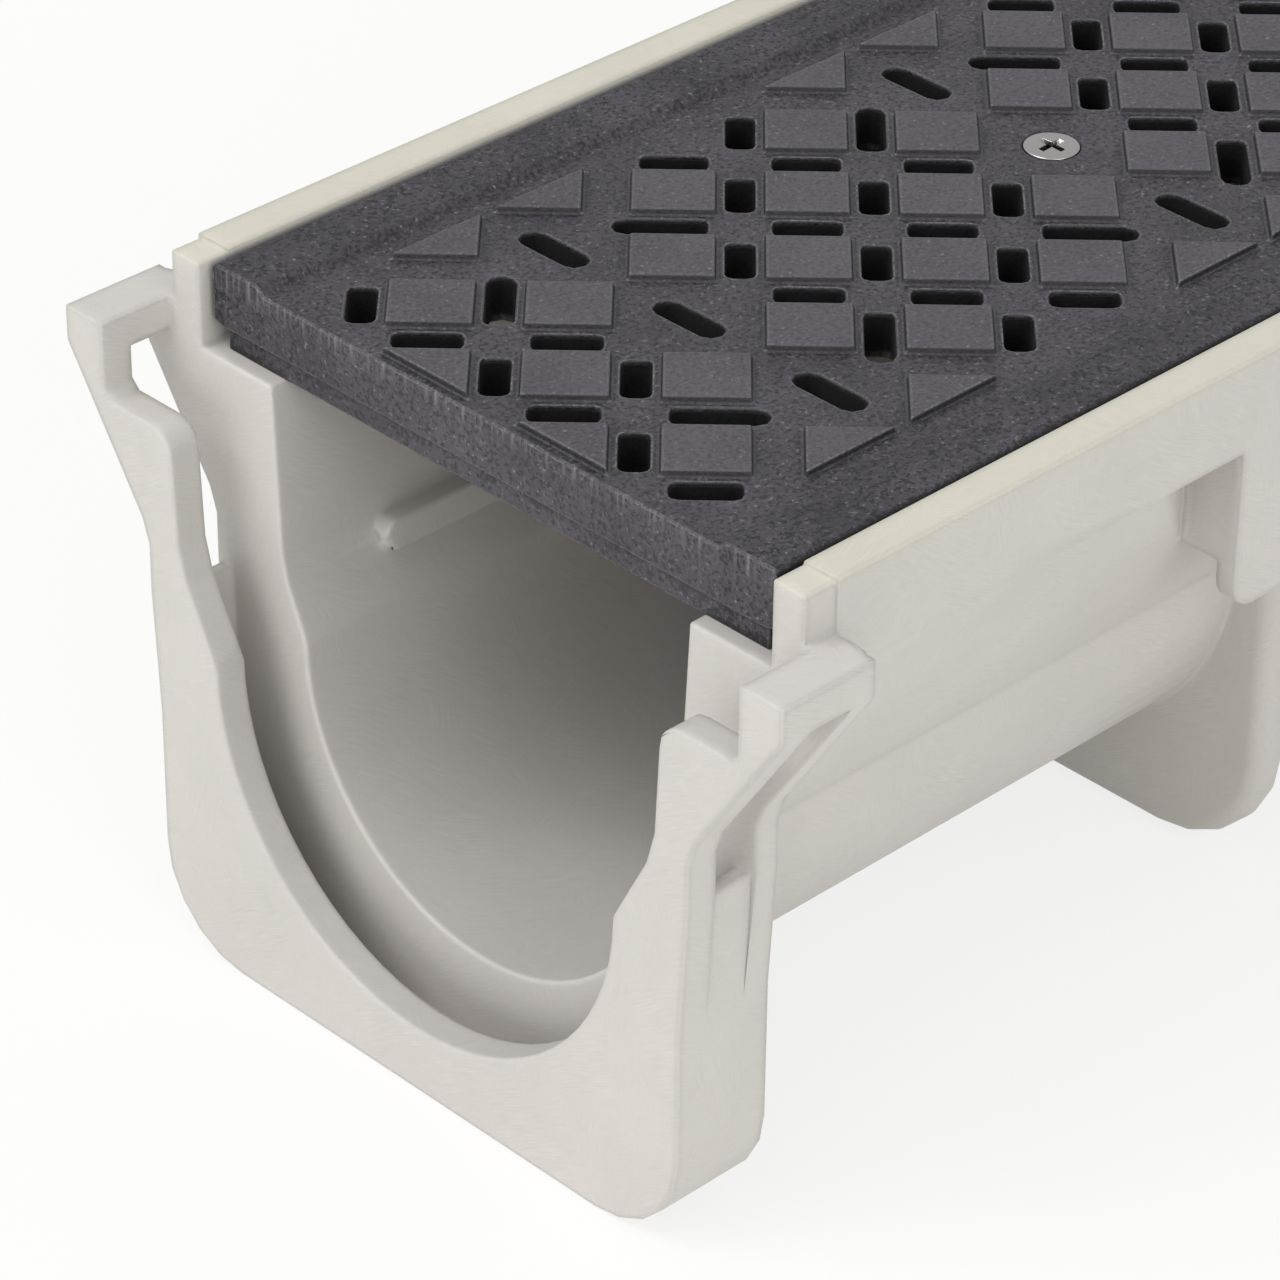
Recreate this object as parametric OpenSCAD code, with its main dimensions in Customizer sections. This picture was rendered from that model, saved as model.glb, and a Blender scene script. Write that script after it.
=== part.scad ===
// Drainage channel with a cast iron grate. The channel is one moulding. The grate lies in its
// rebate, and two countersunk screws hold it down to crossbars in pockets of the channel's walls.
// Millimetres. X runs along the channel, Y across it and Z up from the ground it stands on.
// The socket end with its hooks is at the low end of X.

/* [Grate] */
// Length of the grate
grate_l = 500; // [330:1:1000]
// Width of the grate's flange
grate_w = 123.6; // [112:0.1:160]
// Height of the grate from its seat to the top of its border
grate_h = 15; // [14:0.1:20]
// How far the walking surface lies below the border
border_step = 1.3; // [0.5:0.1:2.5]
// Width of the plain border along each side
border_w = 10.5; // [6:0.1:14]
// Height of the flange, down from the top of the border
flange_h = 10.7; // [7:0.1:12]
// How far the skirt below the flange is set in
skirt_inset = 2.2; // [1:0.1:4]
// Thickness of the plate that the slots go through
plate_t = 8; // [5:0.1:12]
// Thickness of the skirt walls
skirt_t = 8; // [5:0.1:12]
// Thickness of the ribs below the plate
rib_t = 4.5; // [3:0.1:5]
// Chamfer along the flange's edges
flange_ease = 0.7; // [0.3:0.1:1.2]
// Width of the slope from the border down to the walking surface
border_slope = 1.5; // [0.5:0.1:3]
// How far the skirt is set in at the grate's ends
end_step = 1; // [0.5:0.1:2]

/* [Tread pattern] */
// Plain margin at each end of the pattern
end_margin = 2; // [1:0.1:4]
// Length of one repeat of the pattern
repeat_l = 82.67; // [78:0.01:95]
// Step of the diagonal lattice, along and across
lattice = 15.1; // [14.4:0.05:15.6]
// Side of a raised square, at its foot
square_side = 13.9; // [11:0.1:15]
// Height of a raised square
square_h = 1.1; // [0.6:0.1:2.5]
// How much each side of a raised square leans in
square_draft = 0.3; // [0.2:0.05:1]

/* [Drain slots] */
// Length of a slot between the squares
slot_l = 11.1; // [8:0.1:12]
// Length of a slot at an outer corner of the pattern
slot_outer_l = 15.2; // [11:0.1:16]
// Length of a slot across the grate, between two repeats
slot_cross_l = 14; // [10:0.1:17]
// Width of the slots
slot_w = 4.8; // [3:0.1:5.5]
// Corner radius of the slots between the squares
slot_r = 1.4; // [0.8:0.1:1.5]
// Corner radius of the slots across the grate and of the outer slots' tips
slot_tip_r = 2.2; // [0.8:0.1:2.4]

/* [Channel] */
// Height of the channel from the ground to its rims
body_h = 119; // [105:0.5:200]
// Thickness of the rims beside the grate
rim_t = 7.1; // [5:0.1:20]
// Gap between the grate and the rim, along each side
side_gap = 1.1; // [0.5:0.1:2]
// How far the rims run past each end of the grate
end_gap = 2; // [0.5:0.1:4]
// How far the grate's border lies below the rims
grate_drop = 0.6; // [0.2:0.1:2]
// Width of the waterway just below the grate
water_w = 92.6; // [84:0.1:96]
// How much narrower the waterway is at its shoulder
water_draft = 3; // [1:0.1:5]
// Depth from the seat down to the shoulder
shoulder_drop = 30; // [25:0.5:35]
// Radius of the round bottom of the waterway
invert_r = 39.5; // [36:0.5:41]
// Height of the waterway's bottom above the ground
invert_z = 18.9; // [17.5:0.1:24]
// Thickness of the shell
wall_t = 6.5; // [4.5:0.1:8]
// Thickness of the shell in the bare end
spigot_t = 4; // [3:0.1:5]
// Height of the crease between the round bottom and the slanting walls, above the round's centre
crease_up = 1.6; // [0:0.1:4]
// Depth of the upright outer face of the rims
rim_h = 16.5; // [12:0.5:20]
// Thickness of the seat's ledge in the bare end
ledge_t = 6; // [4:0.5:8]
// Length of the bare end that goes into the next channel's socket
spigot_l = 13; // [10:0.5:18]

/* [Socket end] */
// Length of the end tabs of the rims, which are a little lower and narrower
tab_l = 6; // [4:0.5:10]
// How much lower and narrower the tabs are
tab_step = 0.6; // [0.3:0.1:1]
// Thickness of the end flange
end_flange_t = 5; // [4:0.5:8]
// Thickness of the socket plate
socket_t = 6; // [4:0.5:8]
// Groove between the socket plate and the flange
groove_l = 8; // [6:0.5:12]
// Width of the foot below the socket plate
foot_w = 119; // [110:0.5:130]
// How far each side of that foot leans out towards its top
foot_draft = 1.3; // [0.5:0.1:2]
// Radius of its lower corners
foot_r = 18; // [8:0.5:22]
// Thickness of the skin that closes the groove outside
skin_t = 2.5; // [2:0.1:4]
// Height where that skin stops, above the ground
skin_top = 65.5; // [50:0.5:70]
// Clearance round the next channel's shell in the socket
socket_gap = 1.6; // [1:0.1:2]
// Clearance beside the next channel's shoulder, between the arms
arm_gap = 4.8; // [2:0.1:6]
// Height of the bends in the arms' inner edges above and below the shoulder
arm_bend = 3; // [1:0.5:6]
// Chamfer in the outer corner of each notch
notch_ease = 1.5; // [0.5:0.1:3]
// Extra room under the next channel's shell in the socket
socket_drop = 1.4; // [0.5:0.1:1.5]
// Height of the notch floors above the ground
notch_z = 96.7; // [92:0.1:97]
// Radius of the shoulder of each arm
arm_r = 4.5; // [2:0.1:6]
// Lean of each arm's inner edge
arm_lean = 1.6; // [0:0.1:3]

/* [Hooks] */
// Gap between a hook and the rim tab that goes in it
hook_gap = 0.8; // [0.3:0.1:2]
// Width of a hook bar outside that gap
hook_bar_w = 8.8; // [6:0.1:16]
// Depth of the hook tops below the rims
hook_drop = 8.9; // [6:0.1:12]
// Thickness of the hook bars
hook_t = 6.3; // [4:0.1:9]
// Length of the hook bars along the channel
hook_l = 20; // [16:0.5:30]
// Radius of their outer corners at the socket end, seen from above
hook_r = 3; // [2:0.1:4]
// Radius of their other outer corners
hook_back_r = 5; // [3:0.1:7]
// Height where the slanting strut under a hook starts, above the ground
strut_z = 74; // [68:0.1:80]
// Height of the first, steeper part of the strut
strut_bend = 4.4; // [2:0.1:8]
// Height of the upright edge of the foot below the strut
strut_edge = 8.8; // [4:0.1:14]
// Height over which the foot leans out below that edge
strut_lean = 22; // [10:1:30]

/* [Middle feet] */
// Distance from the middle of the grate to each middle foot
mid_foot_x = 121.5; // [100:0.5:125]
// Thickness of a middle foot
mid_foot_t = 8; // [6:0.5:20]
// Width of a middle foot
mid_foot_w = 108; // [100:0.5:118]
// Radius of its lower corners
mid_foot_r = 21.5; // [10:0.5:26]

/* [Locking] */
// Diameter of the screw's head
head_d = 9.3; // [9:0.1:13]
// Diameter of the screw's shank
screw_d = 5; // [4:0.5:6]
// Length of the screw over its head
screw_l = 30; // [28:1:40]
// Height of the upright edge of the head
head_edge = 0.3; // [0.2:0.1:0.8]
// Clearance round the shank in the grate
screw_gap = 0.4; // [0.2:0.1:1]
// Clearance round the shank in the tapped hole
thread_gap = 0.05; // [0.02:0.01:0.2]
// Width over the cross recess in the head
recess_w = 5.3; // [4:0.1:7]
// Width of each wing of the recess
wing_w = 1.2; // [0.8:0.1:1.6]
// Depth of the cross recess
recess_depth = 2; // [1:0.1:2.5]
// Width of the recess at its bottom
recess_low_w = 2; // [1.8:0.1:3]
// Thickness of a crossbar
bar_t = 6; // [4:0.5:8]
// Width of a crossbar
bar_w = 25; // [16:0.5:36]
// Corner radius of a crossbar
bar_r = 4; // [1:0.5:7]
// Depth of a pocket for a crossbar's end, from the waterway into the wall
pocket_depth = 14; // [8:0.5:15]
// Clearance at a crossbar's ends and beside it
bar_gap = 2; // [1:0.1:4]
// Clearance below a crossbar in its pocket
bar_drop = 1.5; // [0.5:0.1:3]
// Thickness of the ledge above the pockets
pocket_roof = 8; // [6:0.5:10]
// Length of a pocket along the channel
pocket_l = 44; // [40:0.5:56]
// Wall left round a pocket at each end of its boss
boss_wall = 10; // [6:0.5:16]
// Height of the bosses' undersides above the ground
boss_z = 81.5; // [78:0.5:84]
// Height of the lower edge of the skirt along a boss's outer face
boss_skirt_z = 73.5; // [66:0.5:80]
// Thickness of that skirt
boss_skirt_t = 4; // [3:0.5:6]
// Radius of the skirt's lower corners
boss_r = 5; // [2:0.5:8]
// Length of the relief beside each boss
relief_l = 18; // [6:0.5:24]
// Depth of the relief into the slanting wall
relief_depth = 11.5; // [6:0.5:13]
// Diameter of the grate's boss round a screw
screw_boss_d = 22; // [18:0.5:28]

/* [Guide ribs] */
// Distance from the flange to each guide rib inside the waterway
rib_inset = 14; // [8:0.5:40]
// Height of a guide rib
rib_h = 6; // [4:0.5:9]
// Height of a guide rib's middle above the ground
rib_z = 69.5; // [67:0.5:72]
// Radius of a guide rib's ends
rib_end_r = 2.9; // [1:0.1:4.5]
// How far a guide rib stands proud of the wall
rib_proud = 0.9; // [0.5:0.1:2]

/* [Hidden] */
$fn = 64;
// Overlap that joins solids and clears cuts
lap = 1;
// Points along a quarter turn of a drawn corner
corner_steps = 5;
// Points along a quarter turn of a slot's small corners
slot_steps = 2;

// Lengths along the channel, from the middle of the grate
rim_end = grate_l / 2 + end_gap;
socket_back = rim_end + groove_l;
socket_front = socket_back + socket_t;
// The grate's middle lies off the middle of the whole length, because only one end has a socket
mid_x = (socket_front - rim_end) / 2;

// Heights
border_z = body_h - grate_drop;
seat_z = border_z - grate_h;
walk_z = border_z - border_step;
centre_z = invert_z + invert_r;
crease_z = centre_z + crease_up;
shoulder_z = seat_z - shoulder_drop;
rim_low_z = body_h - rim_h;
hook_top = body_h - hook_drop;
hook_low = hook_top - hook_t;

// Widths
rebate_w = grate_w + 2 * side_gap;
rim_w = rebate_w + 2 * rim_t;
tab_w = rim_w - 2 * tab_step;
hook_in_w = tab_w + 2 * hook_gap;
hook_w = hook_in_w + 2 * hook_bar_w;
shell_r = invert_r + wall_t;
spigot_r = invert_r + spigot_t;
shoulder_w = water_w - water_draft;

// Pattern
repeats = max(2, round((grate_l - 2 * end_margin) / repeat_l));
pitch = (grate_l - 2 * end_margin) / repeats;
// The screws stand between two repeats, a quarter of the way along
screw_repeat = round(repeats / 4 - 0.5);
screw_x = grate_l / 2 - end_margin - (screw_repeat + 0.5) * pitch;

// Crossbars
bar_top = seat_z - pocket_roof;
bar_low = bar_top - bar_t;
boss_l = pocket_l + 2 * boss_wall;
bar_l = water_w + 2 * (pocket_depth - bar_gap);

// Points on part of a circle
function arc(y, z, r, from, to, steps = corner_steps) =
    [for (i = [0 : steps]) let (a = from + (to - from) * i / steps) [y + r * cos(a), z + r * sin(a)]];

// The mirror image of a half outline, in reverse order
function mirrored(points) = [for (i = [len(points) - 1 : -1 : 0]) [-points[i][0], points[i][1]]];

// Height at which the slanting outer wall is y from the middle
function slant_z(y) = crease_z + (rim_low_z - crease_z) * (y - shell_r) / (rim_w / 2 - shell_r);

// Draws children of the Y-Z plane as a solid from x0 to x1
module along_x(x0, x1) {
    translate([x0, 0, 0]) rotate([90, 0, 90]) linear_extrude(x1 - x0) children();
}

module both_sides() {
    children();
    mirror([0, 1, 0]) children();
}

module both_screws() {
    for (side = [-1, 1]) translate([mid_x + side * screw_x, 0, 0]) children();
}

// A plate of the Y-Z plane from half an outline
module half_outline(points) {
    polygon(concat(points, mirrored(points)));
}

// Rectangle from x0 to x1 with round corners of radius r0 and r1 at its two ends
module rounded_slot(x0, x1, w, r0, r1, steps = corner_steps) {
    y = w / 2;
    polygon(concat(arc(x1 - r1, y - r1, r1, 0, 90, steps), arc(x0 + r0, y - r0, r0, 90, 180, steps),
                   arc(x0 + r0, r0 - y, r0, 180, 270, steps), arc(x1 - r1, r1 - y, r1, 270, 360, steps)));
}

// Clear section of the waterway, up to the seat
module waterway() {
    translate([0, centre_z]) circle(invert_r);
    widening = shoulder_w / 2 - invert_r;
    rise = shoulder_z - centre_z;
    half_outline([[0, centre_z], [invert_r, centre_z],
                  [invert_r + widening / 5, centre_z + rise / 5],
                  [shoulder_w / 2 - widening / 5, shoulder_z - rise / 3], [shoulder_w / 2, shoulder_z],
                  [water_w / 2, seat_z], [0, seat_z]]);
}

// Clear section of the rebate that the grate lies in
module rebate() {
    translate([-rebate_w / 2, seat_z]) square([rebate_w, body_h - seat_z + lap]);
}

// Full outer section, with slanting walls under upright rims
module outer_section() {
    translate([0, centre_z]) circle(shell_r);
    half_outline([[0, centre_z], [shell_r, centre_z], [shell_r, crease_z], [rim_w / 2, rim_low_z],
                  [rim_w / 2, body_h], [0, body_h]]);
}

// Outer section of the bare end, with thin walls that pass through a socket
module spigot_section() {
    translate([0, centre_z]) circle(spigot_r);
    low_y = shoulder_w / 2 + spigot_t;
    half_outline([[0, centre_z], [spigot_r, centre_z], [low_y, shoulder_z], [low_y, seat_z - ledge_t],
                  [tab_w / 2, seat_z - ledge_t], [tab_w / 2, body_h - tab_step],
                  [0, body_h - tab_step]]);
}

// Outer section of the rim tabs at the socket end
module tab_section() {
    half_outline([[0, seat_z - ledge_t], [tab_w / 2, seat_z - ledge_t], [tab_w / 2, body_h - tab_step],
                  [0, body_h - tab_step]]);
}

// Outline of a foot with round lower corners
module foot_section(w, r, top) {
    half_outline(concat([[0, 0]], arc(w / 2 - r, r, r, -90, 0), [[w / 2, top], [0, top]]));
}

// Outline that the flange and the socket plate share, with slanting struts up to the hooks
module strut_section() {
    hook_y = hook_w / 2;
    foot_y = foot_w / 2 + foot_draft;
    edge_z = strut_z - strut_edge;
    half_outline(concat([[0, 0]], arc(foot_w / 2 - foot_r, foot_r, foot_r, -90, 0),
                        [[foot_w / 2, edge_z - strut_lean], [foot_y, edge_z], [foot_y, strut_z],
                         [foot_y + strut_bend / 3, strut_z + strut_bend], [hook_y, hook_low],
                         [hook_y, hook_top], [0, hook_top]]));
}

// Opening of the socket plate, which the next channel's bare end goes through
module socket_opening() {
    open_r = spigot_r + socket_gap;
    arm_y = shoulder_w / 2 + spigot_t + arm_gap;
    translate([0, centre_z - socket_drop]) circle(open_r);
    half_outline(concat([[0, centre_z - socket_drop], [open_r, centre_z - socket_drop],
                         [open_r + socket_drop, centre_z + socket_drop],
                         [arm_y - arm_lean, shoulder_z - arm_bend], [arm_y, shoulder_z + arm_bend]],
                        arc(arm_y + arm_lean / 2 + arm_r, notch_z - arm_r, arm_r, 180, 90),
                        [[hook_in_w / 2 - notch_ease, notch_z], [hook_in_w / 2, notch_z + notch_ease],
                         [hook_in_w / 2, body_h], [0, body_h]]));
}

// Inside of the groove between the socket plate and the flange
module groove_section() {
    inner_r = foot_r - skin_t;
    half_outline(concat([[0, skin_t]],
                        arc(foot_w / 2 - skin_t - inner_r, skin_t + inner_r, inner_r, -90, 0),
                        [[foot_w / 2 - skin_t, body_h], [0, body_h]]));
}

// Plan of a hook bar on the +Y side, with round outer corners
module hook_plan() {
    front = mid_x - socket_front;
    back = front + hook_l;
    out_y = hook_w / 2;
    polygon(concat([[front, hook_in_w / 2]],
                   arc(front + hook_r, out_y - hook_r, hook_r, 180, 90),
                   arc(back - hook_back_r, out_y - hook_back_r, hook_back_r, 90, 0),
                   [[back, tab_w / 2 - lap], [mid_x - rim_end, tab_w / 2 - lap],
                    [mid_x - rim_end, hook_in_w / 2]]));
}

module hook_bars() {
    both_sides() translate([0, 0, hook_low]) linear_extrude(hook_t) hook_plan();
}

// Socket plate with the skin that joins it to the flange
module socket() {
    difference() {
        along_x(mid_x - socket_front, mid_x - socket_back) strut_section();
        along_x(mid_x - socket_front - lap, mid_x - socket_back + lap) socket_opening();
    }
    difference() {
        along_x(mid_x - socket_back - lap, mid_x - rim_end + lap) foot_section(foot_w, foot_r, skin_top);
        along_x(mid_x - socket_back, mid_x - rim_end) groove_section();
        along_x(mid_x - socket_front - lap, mid_x - rim_end + 2 * lap) socket_opening();
    }
}

// Boss that holds the pocket for a crossbar's end, on the +Y side, with a skirt down its outer face
module bar_boss() {
    end = boss_l / 2;
    rotate([90, 0, 0]) mirror([0, 0, 1]) {
        linear_extrude(rim_w / 2) translate([-end, boss_z]) square([boss_l, seat_z - boss_z]);
        translate([0, 0, rim_w / 2 - boss_skirt_t]) linear_extrude(boss_skirt_t)
            polygon(concat(arc(boss_r - end, boss_skirt_z + boss_r, boss_r, 180, 270),
                           arc(end - boss_r, boss_skirt_z + boss_r, boss_r, 270, 360),
                           [[end, seat_z], [-end, seat_z]]));
    }
}

// Hollows beside a boss on the +Y side, where the slanting wall turns in under the rim
module reliefs() {
    relief_y = rim_w / 2 - relief_depth;
    end = boss_l / 2;
    for (side = [0, 1]) mirror([side, 0, 0]) translate([0, 0, slant_z(relief_y)])
        linear_extrude(rim_low_z - slant_z(relief_y))
            polygon([[end, relief_y], [end + relief_l, rim_w / 2], [end + relief_l, rim_w / 2 + lap],
                     [end, rim_w / 2 + lap]]);
}

// Pocket for a crossbar's end, on the +Y side
module bar_pocket() {
    translate([-pocket_l / 2, 0, bar_low - bar_drop])
        cube([pocket_l, water_w / 2 + pocket_depth, bar_t + bar_drop]);
}

// Rib with round ends along the shoulder of the waterway, on the +Y side
module guide_rib() {
    rib_len = 2 * (rim_end - end_flange_t - rib_inset);
    wall_y = (invert_r + shoulder_w / 2) / 2;
    translate([mid_x, wall_y - rib_proud, rib_z]) rotate([-90, 0, 0])
        linear_extrude(wall_t) rounded_slot(-rib_len / 2, rib_len / 2, rib_h, rib_end_r, rib_end_r);
}

module channel_body() {
    near = mid_x - rim_end;
    far = mid_x + rim_end;
    color([0.82, 0.80, 0.75]) union() {
        difference() {
            union() {
                along_x(near + tab_l, far - spigot_l) outer_section();
                along_x(near, near + tab_l + lap) tab_section();
                along_x(near, near + end_flange_t) strut_section();
                along_x(near + end_flange_t - lap, near + tab_l + lap)
                    intersection() {
                        outer_section();
                        translate([-tab_w / 2, 0]) square([tab_w, body_h - tab_step]);
                    }
                along_x(far - spigot_l - lap, far) spigot_section();
                for (x = [mid_x - mid_foot_x, mid_x + mid_foot_x])
                    along_x(x - mid_foot_t / 2, x + mid_foot_t / 2)
                        foot_section(mid_foot_w, mid_foot_r, slant_z(mid_foot_w / 2));
                both_screws() both_sides() bar_boss();
            }
            along_x(near - lap, far + lap) {
                waterway();
                rebate();
            }
            both_screws() both_sides() {
                bar_pocket();
                reliefs();
            }
        }
        socket();
        hook_bars();
        both_sides() guide_rib();
    }
}

// Square that stands on a corner of the lattice, with leaning sides
module tread_square() {
    foot = square_side / sqrt(2);
    top = (square_side - 2 * square_draft) / sqrt(2);
    translate([0, 0, walk_z - lap]) cylinder(h = lap, r = foot, $fn = 4);
    translate([0, 0, walk_z]) cylinder(h = square_h, r1 = foot, r2 = top, $fn = 4);
}

// Squares of one repeat, in steps of the lattice from its middle
square_places = [[2, 1], [2, 3], [1, 0], [1, 2], [0, 1]];

module repeat_squares() {
    for (place = square_places, sx = [-1, 1], sy = [-1, 1])
        if ((place[0] > 0 || sx > 0) && (place[1] > 0 || sy > 0))
            translate([sx * place[0] * lattice, sy * place[1] * lattice, 0]) tread_square();
}

// All squares, cut off straight at the borders and at the ends
module tread() {
    intersection() {
        translate([mid_x, 0, 0]) for (i = [0 : repeats])
            translate([(i - repeats / 2) * pitch, 0, 0]) repeat_squares();
        translate([mid_x - grate_l / 2 + end_margin, -3 * lattice, walk_z - lap])
            cube([grate_l - 2 * end_margin, 6 * lattice, 2 * lap + square_h]);
    }
}

// One slot, turned to lie between two squares of the lattice
module lattice_slot(a, b) {
    turn = ((a + b - 1) % 2 == 0) ? 45 : -45;
    outer = a > 1 && b > 1;
    tip = outer ? slot_outer_l - slot_l / 2 : slot_l / 2;
    translate([a * lattice, b * lattice]) rotate(turn)
        rounded_slot(-slot_l / 2, tip, slot_w, slot_r, outer ? slot_tip_r : slot_r, slot_steps);
}

// Slots of a quarter of a repeat
slot_places = [[0.5, 0.5], [0.5, 1.5], [0.5, 2.5], [1.5, 0.5], [1.5, 1.5]];

module repeat_slots(first, last) {
    for (place = slot_places, sy = [0, 1]) mirror([0, sy]) {
        if (!first) mirror([1, 0]) lattice_slot(place[0], place[1]);
        if (!last) lattice_slot(place[0], place[1]);
    }
}

module cross_slots(with_middle) {
    for (b = [-2, 0, 2]) if (b != 0 || with_middle)
        translate([0, b * lattice]) rotate(90)
            rounded_slot(-slot_cross_l / 2, slot_cross_l / 2, slot_w, slot_tip_r, slot_tip_r, slot_steps);
}

module all_slots() {
    for (i = [0 : repeats]) translate([(i - repeats / 2) * pitch, 0]) repeat_slots(i == 0, i == repeats);
    for (i = [0 : repeats - 1]) translate([(i + 0.5 - repeats / 2) * pitch, 0])
        cross_slots(i != screw_repeat && i != repeats - 1 - screw_repeat);
}

// Section of the grate: skirt, flange and the borders that stand above the walking surface
module grate_section() {
    skirt_y = grate_w / 2 - skirt_inset;
    flange_z = border_z - flange_h;
    inner_y = grate_w / 2 - border_w;
    half_outline([[0, seat_z], [skirt_y, seat_z], [skirt_y, flange_z],
                  [grate_w / 2, flange_z + flange_ease], [grate_w / 2, border_z - flange_ease],
                  [grate_w / 2 - flange_ease, border_z], [inner_y, border_z],
                  [inner_y - border_slope, walk_z], [0, walk_z]]);
}

// Hollows under the plate, between the skirt, the middle rib and the cross ribs
module underside_hollows() {
    deep = walk_z - plate_t - seat_z;
    y_in = rib_t / 2;
    y_out = grate_w / 2 - skirt_inset - skirt_t;
    for (i = [0 : repeats - 1]) both_sides() {
        x0 = (i - repeats / 2) * pitch + (i == 0 ? skirt_t : rib_t / 2);
        x1 = (i + 1 - repeats / 2) * pitch - (i == repeats - 1 ? skirt_t : rib_t / 2);
        translate([x0, y_in, seat_z - lap]) cube([x1 - x0, y_out - y_in, deep + lap]);
    }
}

module grate() {
    color([0.29, 0.28, 0.30]) difference() {
        union() {
            difference() {
                along_x(mid_x - grate_l / 2, mid_x + grate_l / 2) grate_section();
                translate([mid_x, 0, 0]) difference() {
                    underside_hollows();
                    for (side = [-1, 1]) translate([side * screw_x, 0, seat_z - lap])
                        cylinder(h = grate_h, d = screw_boss_d);
                }
                for (side = [-1, 1]) translate([mid_x + side * grate_l / 2, 0, 0])
                    translate([-end_step, -grate_w / 2, seat_z - lap])
                        cube([2 * end_step, grate_w, grate_h - flange_h + lap]);
                translate([mid_x, 0, seat_z - lap]) linear_extrude(grate_h + 2 * lap) all_slots();
            }
            tread();
        }
        both_screws() screw_hole();
    }
}

// Countersunk hole for a locking screw
module screw_hole() {
    hole_r = screw_d / 2 + screw_gap;
    head_r = head_d / 2 + screw_gap;
    translate([0, 0, seat_z - lap]) cylinder(h = grate_h + 2 * lap, r = hole_r);
    translate([0, 0, walk_z - (head_r - hole_r)]) cylinder(h = head_r - hole_r, r1 = hole_r, r2 = head_r);
    translate([0, 0, walk_z]) cylinder(h = square_h + lap, r = head_r);
}

// Countersunk screw with a cross recess, its head level with the walking surface
module locking_screw() {
    cone_h = (head_d - screw_d) / 2;
    color([0.75, 0.75, 0.76]) difference() {
        union() {
            translate([0, 0, walk_z - head_edge]) cylinder(h = head_edge, d = head_d);
            translate([0, 0, walk_z - head_edge - cone_h]) cylinder(h = cone_h, d1 = screw_d, d2 = head_d);
            translate([0, 0, walk_z - screw_l]) cylinder(h = screw_l - head_edge - cone_h / 2, d = screw_d);
        }
        for (turn = [0, 90]) rotate(turn) cross_wing();
    }
}

// One wing of the cross recess, narrower towards its bottom
module cross_wing() {
    rotate([90, 0, 0]) translate([0, walk_z, -wing_w / 2]) linear_extrude(wing_w)
        polygon([[-recess_w / 2, lap], [-recess_w / 2, 0], [-recess_low_w / 2, -recess_depth],
                 [recess_low_w / 2, -recess_depth], [recess_w / 2, 0], [recess_w / 2, lap]]);
}

module locking_bar() {
    color([0.62, 0.63, 0.64]) difference() {
        translate([0, 0, bar_low]) rotate(90) linear_extrude(bar_t)
            rounded_slot(-bar_l / 2, bar_l / 2, bar_w, bar_r, bar_r);
        translate([0, 0, bar_low - lap]) cylinder(h = bar_t + 2 * lap, d = screw_d + 2 * thread_gap);
    }
}

channel_body();
grate();
translate([mid_x - screw_x, 0, 0]) locking_bar();  // locking_bar_near
translate([mid_x + screw_x, 0, 0]) locking_bar();  // locking_bar_far
translate([mid_x - screw_x, 0, 0]) locking_screw();  // locking_screw_near
translate([mid_x + screw_x, 0, 0]) locking_screw();  // locking_screw_far
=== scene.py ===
import math

import bmesh
import bpy
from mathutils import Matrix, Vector


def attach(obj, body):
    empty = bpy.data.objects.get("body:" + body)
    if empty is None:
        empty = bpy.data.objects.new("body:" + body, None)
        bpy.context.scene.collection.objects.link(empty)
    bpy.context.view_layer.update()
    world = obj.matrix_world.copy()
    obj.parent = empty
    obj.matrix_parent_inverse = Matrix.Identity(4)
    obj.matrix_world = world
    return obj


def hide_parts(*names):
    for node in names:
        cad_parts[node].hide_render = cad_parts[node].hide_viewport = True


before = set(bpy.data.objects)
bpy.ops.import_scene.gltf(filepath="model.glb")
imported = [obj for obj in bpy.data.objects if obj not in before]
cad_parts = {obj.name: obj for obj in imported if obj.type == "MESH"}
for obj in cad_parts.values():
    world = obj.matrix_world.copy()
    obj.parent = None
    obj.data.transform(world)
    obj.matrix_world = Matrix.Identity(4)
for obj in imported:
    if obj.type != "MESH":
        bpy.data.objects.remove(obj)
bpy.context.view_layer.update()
mm = 0.001  # the scene is in metres
scene = bpy.context.scene
scene.view_settings.view_transform = "Standard"
print("frame loaded")


# camera at the place the photograph was taken from
photoView = {
    "place": (-0.72884, -0.52802, 0.54360),
    "turnDegrees": (56.996, -0.535, -44.178),
    "lensMm": 157.2,
    "sensorMm": 36.0,
}

cameraData = bpy.data.cameras.new("productCamera")
cameraData.lens = photoView["lensMm"]
cameraData.sensor_width = photoView["sensorMm"]
cameraData.clip_start = 0.05
cameraData.clip_end = 20
camera = bpy.data.objects.new("productCamera", cameraData)
camera.location = photoView["place"]
camera.rotation_euler = [math.radians(a) for a in photoView["turnDegrees"]]
scene.collection.objects.link(camera)
scene.camera = camera
print("camera placed")


def linearColour(hexColour):
    # sRGB hex to the linear values that shaders use
    parts = [int(hexColour[i:i + 2], 16) / 255 for i in (1, 3, 5)]
    return tuple(p / 12.92 if p <= 0.04045 else ((p + 0.055) / 1.055) ** 2.4 for p in parts) + (1.0,)


def addNode(tree, kind, settings=None, links=None):
    # one shader node, with its settings and what feeds it
    node = tree.nodes.new("ShaderNode" + kind)
    for name, value in (settings or {}).items():
        if isinstance(name, str) and hasattr(node, name):
            setattr(node, name, value)
        else:
            node.inputs[name].default_value = value
    for name, source in (links or {}).items():
        tree.links.new(source, node.inputs[name])
    return node


def newMaterial(name):
    material = bpy.data.materials.new(name)
    material.use_nodes = True
    return material, material.node_tree, material.node_tree.nodes["Principled BSDF"]


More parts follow.
